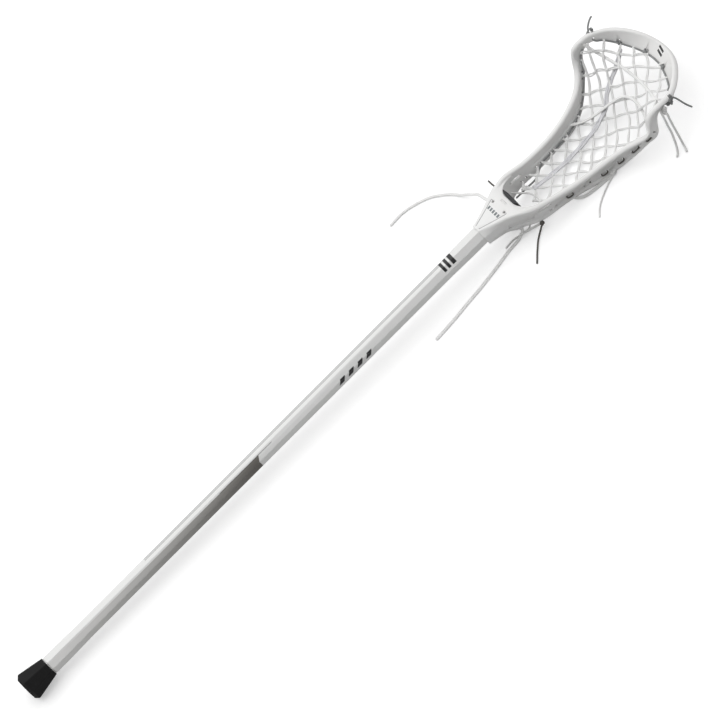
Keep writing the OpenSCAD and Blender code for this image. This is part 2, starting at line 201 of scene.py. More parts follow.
def braid_shader(name, colour, shade, roughness=0.75, across=4.0):
    """A braided cord, with painted shade in the weave's grooves. The UV map runs once round the cord, and
    once for each diameter along it.
    """
    s = Shader(name, colour, roughness, Sheen_Weight=0.25, Sheen_Roughness=0.5)
    split = s.node("SeparateXYZ", {0: s.uv()})
    u, v = split.outputs[0], split.outputs[1]
    turn = 2 * math.pi
    far, round_it = s.math("MULTIPLY", u, turn), s.math("MULTIPLY", v, turn * across)
    a, b = s.math("ADD", far, round_it), s.math("SUBTRACT", far, round_it)
    weave = s.math("MULTIPLY", s.math("SINE", a), s.math("SINE", b))
    yarn = s.math("MULTIPLY", s.math("SINE", s.math("MULTIPLY", a, 4.0)), 0.25)
    height = s.math("ADD", weave, yarn)
    grime = s.noise(s.place(), 90.0)
    dirt = s.math("MULTIPLY", s.math("SUBTRACT", grime, 0.5), 0.7)
    # The weave's low places take the shade colour: painted shade in the braid's grooves. The grime noise adds
    # random tone.
    share = s.math("ADD", s.ramp(height, -0.9, 0.7), dirt, clamp=True)
    s.colour(s.mix(share, shade, colour))
    s.bump(height, 0.00025, 0.7)
    return s.mat


def plastic_shader():
    """Moulded white nylon, with small generic marks printed on the throat and the scoop, and painted shade
    along the throat's two grooves.
    """
    s = Shader("head_nylon", (0.8, 0.8, 0.79), 0.36, Specular_IOR_Level=0.5)
    x, y, z = s.stick_place(BUTT + ALONG * MOUTH * MM)
    cloud = s.noise(s.place(), 14.0, 4.0)
    colour = s.mix(s.ramp(cloud, 0.3, 0.7), (0.715, 0.71, 0.70), (0.755, 0.755, 0.75))
    facing = s.math("GREATER_THAN", s.dot(s.node("NewGeometry").outputs["Normal"], tuple(OUT)), 0.35)

    def marks(colour, ink, boxes):
        for x0, x1, y0, y1, slope in boxes:
            lean = s.math("SUBTRACT", x, s.math("MULTIPLY", y, slope))
            inside = s.math("MULTIPLY", s.band(lean, x0, x1), s.band(y, y0, y1))
            colour = s.mix(s.math("MULTIPLY", inside, facing), colour, ink)
        return colour

    blocks = [(27.6, 32.2, 5.0 * k - 1.6, 5.0 * k + 1.6, 0.0) for k in range(-2, 3)]
    colour = marks(colour, (0.16, 0.18, 0.19), blocks)
    # A dark line painted along each of the throat's two grooves and round their ends: painted shade in the
    # grooves
    groove = s.math("SUBTRACT", s.math("ABSOLUTE", y), s.math("ADD", s.math("MULTIPLY", x, 0.375), 2.3))
    line = s.math("MULTIPLY", s.band(groove, -0.5, 0.5), s.band(x, 2.7, 38.7))
    turn = s.math("MULTIPLY", s.band(s.math("SUBTRACT", x, 38.7), 0.0, 0.9),
                  s.band(s.math("ABSOLUTE", y), 13.0, 16.9))
    colour = s.mix(s.math("MULTIPLY", s.math("MAXIMUM", line, turn), facing), colour, (0.3, 0.3, 0.3))
    tip = [(304.6, 307.4, -6.0, 5.0, 0.25), (309.2, 312.0, -5.0, 6.0, 0.25)]
    colour = marks(colour, (0.012, 0.012, 0.014), tip)
    s.colour(colour)
    s.rough(s.ramp(s.noise(s.place(), 60.0), 0.2, 0.8, 0.3, 0.42))
    s.bump(s.noise(s.place(), 900.0, 2.0), 0.00005, 0.5)
    return s.mat


def shaft_shader():
    """Pearl satin coat on the octagonal tube, with printed pinstripes, a taupe fade and plain bars."""
    s = Shader("shaft_alloy", (0.7, 0.7, 0.69), 0.38, Specular_IOR_Level=0.4)
    x, y, z = s.stick_place()
    half = math.sqrt(0.5)
    wide = math.tan(math.radians(67.5))
    top = s.math("GREATER_THAN", z, s.math("MULTIPLY", s.math("ABSOLUTE", y), wide))
    slant_out = s.math("MULTIPLY", s.math("SUBTRACT", z, y), half)
    slant = s.math("MULTIPLY", s.math("ADD", y, z), -half)
    upper = s.math("GREATER_THAN", slant_out, s.math("MULTIPLY", s.math("ABSOLUTE", slant), wide))
    side_out = s.math("MULTIPLY", y, -1.0)
    side = s.math("GREATER_THAN", side_out, s.math("MULTIPLY", s.math("ABSOLUTE", z), wide))
    fleck = s.noise(s.place(), 2600.0, 1.0)
    colour = s.mix(s.ramp(fleck, 0.35, 0.65), (0.69, 0.69, 0.685), (0.76, 0.76, 0.75))

    # The taupe fade, on the right side of the upper facet and on the whole side facet
    fade = s.ramp(x, 60.0, 385.0)
    taupe = s.mix(fade, (0.7, 0.695, 0.685), (0.12, 0.112, 0.1))
    lean = s.math("ADD", x, s.math("MULTIPLY", slant, 0.7))
    right_part = s.math("MULTIPLY", upper, s.math("GREATER_THAN", slant, -2.4))
    zone_upper = s.math("MULTIPLY", right_part, s.band(lean, 30.0, 394.0))
    zone_side = s.math("MULTIPLY", side, s.band(x, 30.0, 391.0))
    colour = s.mix(s.math("MAXIMUM", zone_upper, zone_side), colour, taupe)

    def ink(colour, *masks, shade=(0.015, 0.015, 0.016)):
        mask = masks[0]
        for other in masks[1:]:
            mask = s.math("MULTIPLY", mask, other)
        return s.mix(mask, colour, shade)

    edge_line = s.band(slant, -2.75, -2.25)
    colour = ink(colour, upper, edge_line, s.band(x, 330.0, 418.0), shade=(0.03, 0.03, 0.03))
    for middle in (1.5, 3.7):
        pinstripe = s.band(y, middle - 0.5, middle + 0.5)
        colour = ink(colour, top, pinstripe, s.band(x, 210.0, 710.0), shade=(0.3, 0.3, 0.3))
    # Plain slanted bars along the right edge of the upper facet and on the side facet
    low_bar = s.math("MULTIPLY", upper, s.math("GREATER_THAN", slant, 2.8))
    side_bar = s.math("MULTIPLY", side, s.math("GREATER_THAN", z, -0.6))
    rows = s.math("MAXIMUM", low_bar, side_bar)
    down = s.math("ADD", s.math("MULTIPLY", z, -0.8), x)
    for k in range(4):
        start = 524.0 + 15.0 * k
        colour = ink(colour, rows, s.band(down, start, start + 8.0))
    # Three plain bars across the top of the shaft, short of the head
    cross = s.math("MAXIMUM", top, s.math("MULTIPLY", upper, s.math("LESS_THAN", slant, 1.4)))
    for start, width in ((709.0, 4.0), (716.0, 4.0), (723.0, 5.5)):
        colour = ink(colour, cross, s.band(x, start, start + width))
    s.colour(colour)
    s.rough(s.ramp(s.noise(s.place(), 120.0), 0.3, 0.7, 0.34, 0.46))
    s.bump(s.noise(s.place(), 1500.0, 2.0), 0.00002, 0.4)
    return s.mat


def rubber_shader():
    s = Shader("cap_rubber", (0.012, 0.012, 0.013), 0.7, Specular_IOR_Level=0.2)
    dust = s.noise(s.place(), 45.0, 6.0, 0.65)
    s.colour(s.mix(s.ramp(dust, 0.45, 0.75), (0.006, 0.006, 0.006), (0.014, 0.014, 0.015)))
    s.rough(s.ramp(dust, 0.3, 0.8, 0.6, 0.8))
    s.bump(s.noise(s.place(), 1100.0, 3.0), 0.0001, 0.6)
    return s.mat


def foam_shader():
    s = Shader("stop_foam", (0.03, 0.03, 0.032), 0.85)
    cells = s.node("TexVoronoi", {"Vector": s.place(), "Scale": 1300.0}).outputs["Distance"]
    s.colour(s.mix(s.ramp(cells, 0.1, 0.6), (0.012, 0.012, 0.013), (0.05, 0.05, 0.052)))
    s.bump(cells, 0.0003, 0.8)
    return s.mat


def steel_shader():
    s = Shader("screw_steel", (0.62, 0.62, 0.6), 0.28, Metallic=1.0)
    s.rough(s.ramp(s.noise(s.place(), 700.0, 4.0), 0.3, 0.7, 0.2, 0.4))
    s.bump(s.noise(s.place(), 1500.0), 0.00003, 0.5)
    return s.mat


NYLON = plastic_shader()
PRINTED = shaft_shader()
RUBBER = rubber_shader()
FOAM = foam_shader()
STEEL = steel_shader()
# The second colour of each cord is the painted shade that its weave's grooves take
WHITE = braid_shader("white_lace", (0.93, 0.93, 0.92), (0.66, 0.66, 0.65))
NET = braid_shader("mesh_cord", (0.93, 0.93, 0.925), (0.7, 0.7, 0.69), across=2.0)
PALE = braid_shader("runner_cord", (0.85, 0.85, 0.87), (0.6, 0.6, 0.63), across=6.0)
GREY = braid_shader("grey_string", (0.34, 0.35, 0.35), (0.1, 0.1, 0.1))
DARK = braid_shader("dark_string", (0.13, 0.12, 0.105), (0.03, 0.028, 0.025))


# ---------------------------------------------------------------- meshes

def unit(v):
    v = np.asarray(v, float)
    return v / np.maximum(np.linalg.norm(v, axis=-1, keepdims=True), 1e-12)


def smooth(points, k):
    """The part's own smooth curve: Catmull-Rom, k steps to a segment."""
    p = np.asarray(points, float)
    n = len(p)
    out = []
    for i in range(n - 1):
        a, b, c, d = p[max(i - 1, 0)], p[i], p[i + 1], p[min(i + 2, n - 1)]
        for j in range(k):
            t = j / k
            out.append(0.5 * (2 * b + (c - a) * t + (2 * a - 5 * b + 4 * c - d) * t**2
                              + (3 * b - a - 3 * c + d) * t**3))
    out.append(p[-1])
    return np.array(out)


def along(points):
    """Distance along a line of points, from its start."""
    steps = np.linalg.norm(np.diff(points, axis=0), axis=1)
    return np.concatenate([[0], np.cumsum(steps)])


def spaced(points, step):
    """Points an even step apart along a line."""
    d = along(points)
    n = max(int(round(d[-1] / step)), 2)
    at = np.linspace(0, d[-1], n + 1)
    return np.stack([np.interp(at, d, points[:, k]) for k in range(3)], 1)


class Pile:
    """Rings of points gathered into one mesh, with a UV map."""

    def __init__(self):
        self.verts, self.faces, self.uvs = [], [], []

    def skin(self, rings, us=None):
        n, m = len(rings), len(rings[0])
        first = len(self.verts)
        us = np.arange(n) if us is None else us
        self.verts.extend(p for ring in rings for p in ring)
        for i in range(n - 1):
            for j in range(m):
                a, b = first + i * m + j, first + i * m + (j + 1) % m
                self.faces.append((a, b, b + m, a + m))
                v0, v1 = j / m, (j + 1) / m
                self.uvs.append(((us[i], v0), (us[i], v1), (us[i + 1], v1), (us[i + 1], v0)))
        for start, order, u in ((first, -1, us[0]), (first + (n - 1) * m, 1, us[-1])):
            cap = tuple(range(start, start + m))[::order]
            self.faces.append(cap)
            self.uvs.append(tuple((u, 0.5) for _ in cap))

    def tube(self, route, width, thick=None, ref=(0, 0, 1), sides=12, step=0.8, weave=0.05, cap=True):
        """A braided cord along a smooth route, w wide and t thick, with rounded ends."""
        thick = thick or width
        p = spaced(np.asarray(route, float), step)
        d = unit(np.gradient(p, axis=0))
        s = np.cross(d, ref)
        bad = np.linalg.norm(s, axis=1) < 0.1
        s[bad] = np.cross(d[bad], (1, 0, 0))
        s = unit(s)
        u = np.cross(s, d)
        far = along(p)
        rings = []
        angle = 2 * math.pi * (np.arange(sides) + 0.5) / sides
        for i in range(len(p)):
            turn = 2 * math.pi * far[i] / (1.6 * thick)
            r = 1 - weave + weave * np.abs(np.sin(2 * angle + turn) * np.sin(2 * angle - turn))
            if cap:
                near = min(far[i], far[-1] - far[i]) / (0.5 * thick)
                r = r * math.sqrt(max(0.06, 1 - max(0.0, 1 - near) ** 2))
            rings.append(p[i] + s[i] * (width / 2 * r * np.cos(angle))[:, None]
                         + u[i] * (thick / 2 * r * np.sin(angle))[:, None])
        self.skin(rings, far / thick)

    def knot(self, centre, size, cord, turn=0.0):
        """A tight overhand knot about as wide as size."""
        t = np.linspace(0, 2 * math.pi, 49)
        r = (size - cord) / 6
        loop = np.stack([(2 + np.cos(3 * t)) * np.cos(2 * t), (2 + np.cos(3 * t)) * np.sin(2 * t),
                         1.6 * np.sin(3 * t)], 1) * r
        c, s = math.cos(turn), math.sin(turn)
        loop = loop @ np.array([[c, 0, s], [0, 1, 0], [-s, 0, c]])
        self.tube(loop + np.asarray(centre), cord, ref=(0.3, 0.2, 1), sides=10, step=0.7)

    def make(self, name, matrix, material, slot, body="stick"):
        mesh = bpy.data.meshes.new(name)
        mesh.from_pydata([tuple(p) for p in self.verts], [], self.faces)
        layer = mesh.uv_layers.new(name="UVMap")
        layer.data.foreach_set("uv", [c for face in self.uvs for uv in face for c in uv])
        mesh.transform(matrix)
        mesh.update()
        made = bpy.data.objects.new(name, mesh)
        bpy.context.scene.collection.objects.link(made)
        mesh.polygons.foreach_set("use_smooth", [True] * len(mesh.polygons))
        mesh.materials.append(material)
        if body:
            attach(made, body)
        return made


# ---------------------------------------------------------------- loose ends of the strings

CORDS = [
    # name, route, width, thickness, reference direction, material, slot, stiffness, lay
    ("left_throat_lace", [[36, 21.5, 34.4], [36, 27, 34], [34.5, 38, 32.5], [32.5, 57, 26],
                          [28, 72, 16.5], [24, 86, 8], [18, 98, 2.6], [13, 108, 1], [2, 121, 1],
                          [-11, 132, 1], [-29, 140, 1], [-47, 144, 1], [-68, 143, 1]],
     LACE_W, LACE_T, (0, 0, 1), WHITE, "white_lace", "limp", "loose"),
    ("right_throat_lace", [[40, -18, 13], [39.5, -20, 11], [37, -20.5, 7], [32, -19, 3],
                           [24, -19.5, 1], [10, -21, 1], [-11, -25.5, 1], [-35, -30, 1],
                           [-47, -32, 1], [-71, -35, 1], [-95, -38.5, 1], [-127, -41.5, 1]],
     FLAT_LACE_W, LACE_T, (0, 0, 1), WHITE, "white_lace", "limp", "loose"),
    ("right_throat_tail", [[51, -22, 12], [50, -22.5, 9.5], [46, -21, 5], [40, -18, 2.2],
                           [33, -15.5, 1.2], [25, -13.5, 1.2], [17, -13.7, 1.2], [10, -14.8, 1.2]],
     STRING_D, STRING_D, (0, 0, 1), WHITE, "white_lace", "limp", "loose"),
    ("bottom_string_tail", [[62, -33, 8], [58, -33.5, 5], [54, -34.5, 2.4], [49, -37.5, 1.2],
                            [44, -42, 1.2], [34, -53.5, 1.2], [23, -67.5, 1.2]],
     STRING_D, STRING_D, (0, 0, 1), DARK, "dark_string", "limp", "loose"),
    ("side_lace_tail", [[164, -52, 3.4], [158, -53, 1.5], [150, -56, 1.2], [136, -63.5, 1.2],
                        [124, -72.5, 1.2], [115, -84, 1.2]],
     STRING_D, STRING_D, (0, 0, 1), WHITE, "white_lace", "limp", "loose"),
    ("shooting_tail_front", [[254.5, -79.3, 58.2], [252.5, -85, 55.5], [250.8, -87.5, 49],
                             [248.5, -89, 39], [246.6, -90.5, 28], [243.5, -92.5, 18],
                             [239.5, -95.5, 8], [235.5, -98.5, 2.6], [231, -102, 1.5]],
     SHOOTER_D, SHOOTER_D, (1, 0, 0), WHITE, "white_lace", "limp", "hanging"),
    ("shooting_tail_back", [[255.5, -79, 58], [257.5, -85.5, 53], [255.5, -88, 44], [253, -90, 31],
                            [250.6, -92.5, 18], [248.5, -95, 8], [246.8, -98.5, 2.6],
                            [244, -107, 1.5]],
     SHOOTER_D, SHOOTER_D, (1, 0, 0), WHITE, "white_lace", "limp", "hanging"),
    ("top_string_tail_left", [[264, 84, 67], [267, 89, 67.5], [272, 96, 65], [277, 103, 61],
                              [281, 108.5, 56.5]],
     STRING_D, STRING_D, (0, 0, 1), GREY, "grey_string", "stiff", "loose"),
    ("top_string_tail_right", [[276, -77, 57], [278.2, -79, 53.5], [280, -81, 47],
                               [282.5, -83, 37], [286, -84.5, 27.5]],
     STRING_D, STRING_D, (1, 0, 0), GREY, "grey_string", "stiff", "loose"),
]


def loose_ends():
    for name, points, width, thick, ref, material, slot, stiffness, lay in CORDS:
        line = smooth(points, 6)
        pile = Pile()
        pile.tube(line, width, thick, ref)
        piece = pile.make(name + "_braid", TABLE, material, slot)
        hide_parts(name)


loose_ends()


# ---------------------------------------------------------------- the head's shape

# Left half, as in the part: rail [x, y, z], lower edge [x, y, z], inset of the wall from the rail.
# x is a share of the head's length, y of half its width.
OUTLINE = [
    [0.144, 0.337, 11.0, 0.144, 0.194, -22.5, 1.0],
    [0.191, 0.427, 7.6, 0.188, 0.286, -25.0, 1.0],
    [0.231, 0.462, 4.4, 0.228, 0.335, -26.3, 1.0],
    [0.303, 0.478, -3.3, 0.303, 0.366, -28.7, 1.0],
    [0.378, 0.514, -8.5, 0.378, 0.406, -32.3, 1.0],
    [0.453, 0.552, -11.2, 0.453, 0.469, -36.0, 1.0],
    [0.528, 0.608, -10.4, 0.528, 0.511, -37.0, 1.0],
    [0.600, 0.697, -8.2, 0.600, 0.606, -32.7, 1.0],
    [0.647, 0.794, -5.2, 0.647, 0.709, -25.0, 1.0],
    [0.683, 0.909, 1.5, 0.684, 0.794, -17.2, 1.0],
    [0.708, 0.994, 13.0, 0.713, 0.861, -11.0, 1.0],
    [0.730, 0.998, 23.5, 0.734, 0.912, -3.0, 1.0],
    [0.753, 0.974, 28.8, 0.753, 0.918, 9.0, 0.95],
    [0.778, 0.963, 30.6, 0.778, 0.887, 18.0, 0.88],
    [0.816, 0.951, 30.0, 0.809, 0.857, 20.0, 0.8],
    [0.856, 0.909, 26.4, 0.842, 0.794, 13.5, 0.72],
    [0.891, 0.823, 23.2, 0.866, 0.709, 6.0, 0.66],
    [0.925, 0.691, 20.4, 0.884, 0.583, 2.6, 0.62],
    [0.953, 0.549, 17.0, 0.898, 0.446, 1.0, 0.6],
    [0.977, 0.389, 12.8, 0.909, 0.309, 0.4, 0.6],
    [0.994, 0.206, 9.0, 0.918, 0.154, 0.1, 0.6],
    [1.000, 0.000, 7.5, 0.921, 0.000, 0.0, 0.6]]
STATION = 3  # stations to an outline row, the part's own count
FINE = 4  # finer steps to a station
TIP = (len(OUTLINE) - 1) * STATION
END = 2 * TIP


class Hoop:
    """The head's wall as arrays over fine stations: foot, direction up, outward normal, height."""

    def __init__(self):
        scale = np.array([HEAD_LEN, HEAD_W / 2, 1, HEAD_LEN, HEAD_W / 2, 1, RAIL_W])
        half = np.array(OUTLINE) * scale
        mirror = half[:-1][::-1] * np.array([1, -1, 1, 1, -1, 1, 1])
        rows = smooth(np.concatenate([half, mirror]), STATION * FINE)
        self.rail, self.foot, inset = rows[:, :3], rows[:, 3:6], rows[:, 6:7]
        d = np.gradient(self.rail, axis=0)
        self.out = unit(np.stack([-d[:, 1], d[:, 0], 0 * d[:, 0]], 1))
        top = self.rail - self.out * inset
        self.height = np.linalg.norm(top - self.foot, axis=1)
        self.up = unit(top - self.foot)
        lean = (self.out * self.up).sum(1, keepdims=True)
        self.normal = unit(self.out - self.up * lean)

    def at(self, values, i):
        """A value at station i of the part, which may lie between two."""
        k = np.asarray(i, float) * FINE
        n = np.arange(len(values))
        if values.ndim == 1:
            return np.interp(k, n, values)
        return np.stack([np.interp(k, n, values[:, c]) for c in range(3)], -1)

    def wall(self, i, up, out):
        """The point that far up the wall at station i, and that far outwards."""
        up, out = np.asarray(up, float), np.asarray(out, float)
        return (self.at(self.foot, i) + self.at(self.up, i) * up[..., None]
                + self.at(self.normal, i) * out[..., None])

    def tall(self, i):
        return self.at(self.height, i)


HOOP = Hoop()

# The throat's sections: x, then y and z of its four corners from the top's edge to the bottom's
THROAT = [
    [0, 7.5, 13.6, 13.6, 6.4, 13.6, -6.4, 7.5, -17.0],
    [24, 18.0, 12.7, 17.6, 5.0, 15.0, -8.0, 11.0, -20.5],
    [37, 24.5, 13.0, 23.2, 4.0, 20.0, -10.0, 17.0, -25.0],
    [49, 31.2, 11.4, 29.2, 3.0, 25.0, -12.0, 20.5, -26.5],
    [61, 36.0, 6.4, 34.0, -2.0, 30.0, -13.0, 27.0, -23.0],
    [76, 38.0, 1.0, 35.0, -6.0, 33.2, -13.0, 31.6, -19.0]]
THROAT_END = [[53.5, 0, 0], [54, 12, 0], [57, 19.5, 0], [63, 26, 0], [72, 30.4, 0], [88, 32.2, 0]]
SOCKET_DEPTH = 48.3
SCREW_AT = 24
# From station, to station, share of the wall's height, width, depth
SLOTS = [(5.2, 7.2, 0.6, 2.6, 7), (10, 14, 0.56, 2.6, 0.8), (15, 19, 0.52, 2.6, 0.8), (20, 22, 0.5, 2.6, 0.8)]
# From station, to station, depth
PANELS = [(7.6, 14.4, 1.7), (12.4, 19.4, 1.9), (17.2, 25.0, 1.9)]
THROAT_PANEL = (30, 60)
THROAT_PANEL_DEEP = 2.2
SIDE_HOLES = [7, 8, 10, 11, 13, 14, 16, 17, 19, 20, 22, 24, 27, 29, 32]
SCOOP_HOLES = [43, 50, 59]
SCOOP_HOLE_UP = 4.5
LACE_HOLES = [(38.4, 12.4), (38.4, -12.4)]


def wall_section(h):
    """The wall with its bead and its rounded rail: how far up, and how far out."""
    r, b = min(7.6, h * 0.52), min(4.6, h * 0.3)
    return np.array([[0, 1], [1, 0], [h - 1.4, 0], [h - 0.2, 0.8], [h + 0.7, RAIL_W * 0.3],
                     [h + 0.6, RAIL_W * 0.65], [h - 0.08 * r, RAIL_W * 0.92], [h - 0.34 * r, RAIL_W],
                     [h - 0.63 * r, RAIL_W * 0.88], [h - 0.84 * r, WALL_T + 1], [h - r, WALL_T],
                     [b, WALL_T], [0.74 * b, BEAD_T], [0.26 * b, BEAD_T], [0, BEAD_T - 1]])


THROAT_CURVE = smooth(THROAT, 6)


def throat_ring(r):
    right = [[0, r[2] + 0.6], [r[1] - 2, r[2]], [r[1], r[2] - 1.8], [r[3], r[4]], [r[5], r[6]],
             [r[7], r[8] + 2], [r[7] - 2, r[8]], [0, r[8]]]
    return [[r[0], y, z] for y, z in right] + [[r[0], -y, z] for y, z in right[6:0:-1]]


def mirrored(k, side):
    return k if side > 0 else END - k


def rod(pile, a, b, radius, sides=20, radius_b=None):
    """A straight rod between two points, or a taper."""
    a, b = np.asarray(a, float), np.asarray(b, float)
    d = unit(b - a)
    s = unit(np.cross(d, (0.3, 0.5, 0.8)))
    u = np.cross(d, s)
    angle = 2 * math.pi * np.arange(sides) / sides
    ring = s * np.cos(angle)[:, None] + u * np.sin(angle)[:, None]
    pile.skin([a + ring * radius, b + ring * (radius if radius_b is None else radius_b)])


def slot_cutter(pile, i, j, share, width, deep):
    """A slot in the wall's inner face, from station i to station j, with round ends."""
    stations = np.linspace(i - 0.5, j + 0.5, 25)
    rings = []
    for k, t in zip(stations, np.linspace(-1, 1, 25)):
        half = width / 2 * math.sqrt(max(0.02, 1 - abs(t) ** 6))
        up = HOOP.tall(k) * share
        corners = ((-half, -2.5), (half, -2.5), (half, deep), (-half, deep))
        rings.append([HOOP.wall(k, up + a, b) for a, b in corners])
    pile.skin(rings)


def panel_cutter(pile, i, j, deep, lean):
    """A shallow recess in the outer face between rail and bead. Its ends lean, so ribs stay between."""
    rings = []
    for k in np.linspace(i, j, 33):
        h = HOOP.tall(k)
        low, high = min(4.6, h * 0.3) + 0.6, h - min(7.6, h * 0.52) - 0.6
        share_high = min(1.0, 0.06 + (k - i) / lean)
        share_low = max(0.0, 0.94 - (j - k) / lean)
        a, b = low + (high - low) * share_low, low + (high - low) * share_high
        rings.append([HOOP.wall(k, u, o) for u, o in ((a, WALL_T - deep), (b, WALL_T - deep),
                                                     (b + 0.5, WALL_T + 0.6), (a - 0.5, WALL_T + 0.6))])
    pile.skin(rings)


def throat_side(x, share):
    """How far out and how high the throat's side is at x, from its upper edge (0) to its lower (1)."""
    r = [np.interp(x, THROAT_CURVE[:, 0], THROAT_CURVE[:, c]) for c in range(9)]
    upper, middle, lower = np.array([[r[3], r[4]], [r[5], r[6]], [r[7], r[8] + 2]])
    if share < 0.5:
        return upper + (middle - upper) * share * 2
    return middle + (lower - middle) * (share - 0.5) * 2


def throat_panel(pile, side):
    """A recess in the throat's side, whose ends lean as the panels' do."""
    rings = []
    for k in np.linspace(*THROAT_PANEL, 17):
        places = [(k + 7 * (0.5 - share), share) for share in (0.22, 0.5, 0.7)]
        edge = [(x, *throat_side(x, share)) for x, share in places]
        rings.append([[x, (y - THROAT_PANEL_DEEP) * side, z] for x, y, z in edge]
                     + [[x, (y + 2.5) * side, z] for x, y, z in edge[::-1]])
    pile.skin(rings)


def octagon_ring(x, af):
    r = af / 2 / math.cos(math.pi / 8)
    return [[x, r * math.cos(a), r * math.sin(a)] for a in (math.pi / 8 + k * math.pi / 4 for k in range(8))]


def raw(pile, name):
    """A mesh object in millimetres, to cut with. It is deleted after use."""
    made = pile.make(name, Matrix.Identity(4), NYLON, "head_nylon", body=None)
    fix_normals(made)
    return made


def fix_normals(obj):
    bpy.ops.object.select_all(action="DESELECT")
    obj.select_set(True)
    bpy.context.view_layer.objects.active = obj
    bpy.ops.object.mode_set(mode="EDIT")
    bpy.ops.mesh.select_all(action="SELECT")
    bpy.ops.mesh.normals_make_consistent(inside=False)
    bpy.ops.object.mode_set(mode="OBJECT")


def apply(obj, kind, **settings):
    made = obj.modifiers.new(kind.lower(), kind)
    for key, value in settings.items():
        setattr(made, key, value)
    bpy.ops.object.select_all(action="DESELECT")
    obj.select_set(True)
    bpy.context.view_layer.objects.active = obj
    bpy.ops.object.modifier_apply(modifier=made.name)


def combine(obj, other, operation):
    apply(obj, "BOOLEAN", object=other, operation=operation, solver="MANIFOLD")
    bpy.data.objects.remove(other)


def head_cutters():
    """The head's holes and recesses, gathered so that no two in a pile overlap."""
    opening = Pile()
    plan = smooth(THROAT_END, 6)
    loop = [(p[0], p[1]) for p in plan] + [(p[0], -p[1]) for p in plan[:0:-1]]
    opening.skin([[[x, y, z] for x, y in loop] for z in (-60, 60)])
    socket = Pile()
    socket.skin([octagon_ring(x, SWELL_AF + 0.3) for x in (-5, SOCKET_DEPTH)])
    screw = Pile()
    rod(screw, (SCREW_AT, 0, -40), (SCREW_AT, 0, -17.4), 3.7, 32)
    shank = Pile()
    rod(shank, (SCREW_AT, 0, -30), (SCREW_AT, 0, 0), 1.95, 24)
    for x, y in LACE_HOLES:
        rod(shank, (x, y, 6), (x, y, 20), HOLE_D / 2)
    slots, holes, recesses, panels, grooves, sides = (Pile() for _ in range(6))
    for side in (1, -1):
        for i, j, deep in PANELS:
            a, b = (i, j) if side > 0 else (END - i, END - j)
            panel_cutter(panels, a, b, deep, 2.7 * side)
        throat_panel(sides, side)
        rod(grooves, (2.7, 3.3 * side, 13.9), (38.7, 16.8 * side, 13.2), 1.0)
        for i, j, share, width, deep in SLOTS:
            a, b = sorted((mirrored(i, side), mirrored(j, side)))
            slot_cutter(slots, a, b, share, width, deep)
        for k in SIDE_HOLES:
            i = mirrored(k, side)
            rod(holes, HOOP.wall(i, HOLE_UP, -2), HOOP.wall(i, HOLE_UP, 7), HOLE_D / 2)
        for k in SCOOP_HOLES:
            i = mirrored(k, side)
            rod(holes, HOOP.wall(i, SCOOP_HOLE_UP, -2), HOOP.wall(i, SCOOP_HOLE_UP, 7), HOLE_D / 2)
            if k != SCOOP_HOLES[0]:
                low, high = HOOP.wall(i, 0.5, -1.0), HOOP.wall(i, HOOP.tall(i) * 0.75, -0.3)
                rod(recesses, low, high, 3.8, 20, 0.5)
    piles = {"opening": opening, "socket": socket, "screw": screw, "shank": shank, "slots": slots,
             "holes": holes, "recesses": recesses, "panels": panels, "grooves": grooves, "sides": sides}
    return [raw(pile, "cut_" + name) for name, pile in piles.items()]


def head_piece():
    """The moulded head: wall and throat joined, cut, then remeshed so that every edge is soft."""
    wall = Pile()
    n = len(HOOP.height)
    rings = []
    for i in range(0, n, 2):
        section = wall_section(HOOP.height[i])
        rings.append(HOOP.foot[i] + HOOP.up[i] * section[:, :1] + HOOP.normal[i] * section[:, 1:])
    wall.skin(rings)
    body = raw(wall, "head_moulding")
    throat = Pile()
    throat.skin([throat_ring(r) for r in THROAT_CURVE])
    combine(body, raw(throat, "throat"), "UNION")
    for cutter in head_cutters():
        combine(body, cutter, "DIFFERENCE")
    apply(body, "REMESH", mode="VOXEL", voxel_size=0.7, adaptivity=0.0)
    apply(body, "SMOOTH", factor=0.5, iterations=3)
    body.data.transform(HEAD)
    body.data.update()
    body.data.polygons.foreach_set("use_smooth", [True] * len(body.data.polygons))
    body.data.materials.clear()
    body.data.materials.append(NYLON)
    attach(body, "stick")
    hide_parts("head")
    return body


head_piece()


# ---------------------------------------------------------------- the pocket

POCKET_MID = [[0.19, -21, 0], [0.3, -27, 0], [0.42, -31.5, 0], [0.54, -33, 0], [0.66, -25, 0],
              [0.74, -14, 0], [0.8, -4, 0], [0.86, 0.5, 0], [0.93, 1.2, 0]]
NET_FROM = 6
NET_ROW = 11.5
NET_STEP = 13.5
NET_CORD = 2.0


def hang(i):
    """The line along the wall that the pocket hangs from, which drops to the top string in the scoop."""
    i = np.asarray(i, float)
    up = np.minimum(HOLE_UP, 0.4 * HOOP.tall(i))
    scoop = np.clip((i - 38) / 5, 0, 1)
    return HOOP.wall(i, up + (2.4 - up) * scoop, np.full(np.shape(i), -STRING_D / 2 - 0.4))


mid_curve = smooth(POCKET_MID, 4)
net_i = np.linspace(NET_FROM, TIP, 240)
net_edge = hang(net_i)


def pocket_z(x, y):
    """Height of the pocket's middle surface over a point of the head's plan."""
    half = np.interp(x, net_edge[:, 0], net_edge[:, 1])
    edge = np.interp(x, net_edge[:, 0], net_edge[:, 2])
    mid = np.interp(x, mid_curve[:, 0] * HEAD_LEN, mid_curve[:, 1])
    share = np.clip(y / half, -1, 1)
    return edge + (mid - edge) * (1 - share**2)


def half_width(x):
    return float(np.interp(x, net_edge[:, 0], net_edge[:, 1]))


def inside(p):
    return net_edge[0, 0] < p[0] < net_edge[-1, 0] and abs(p[1]) <= half_width(p[0])


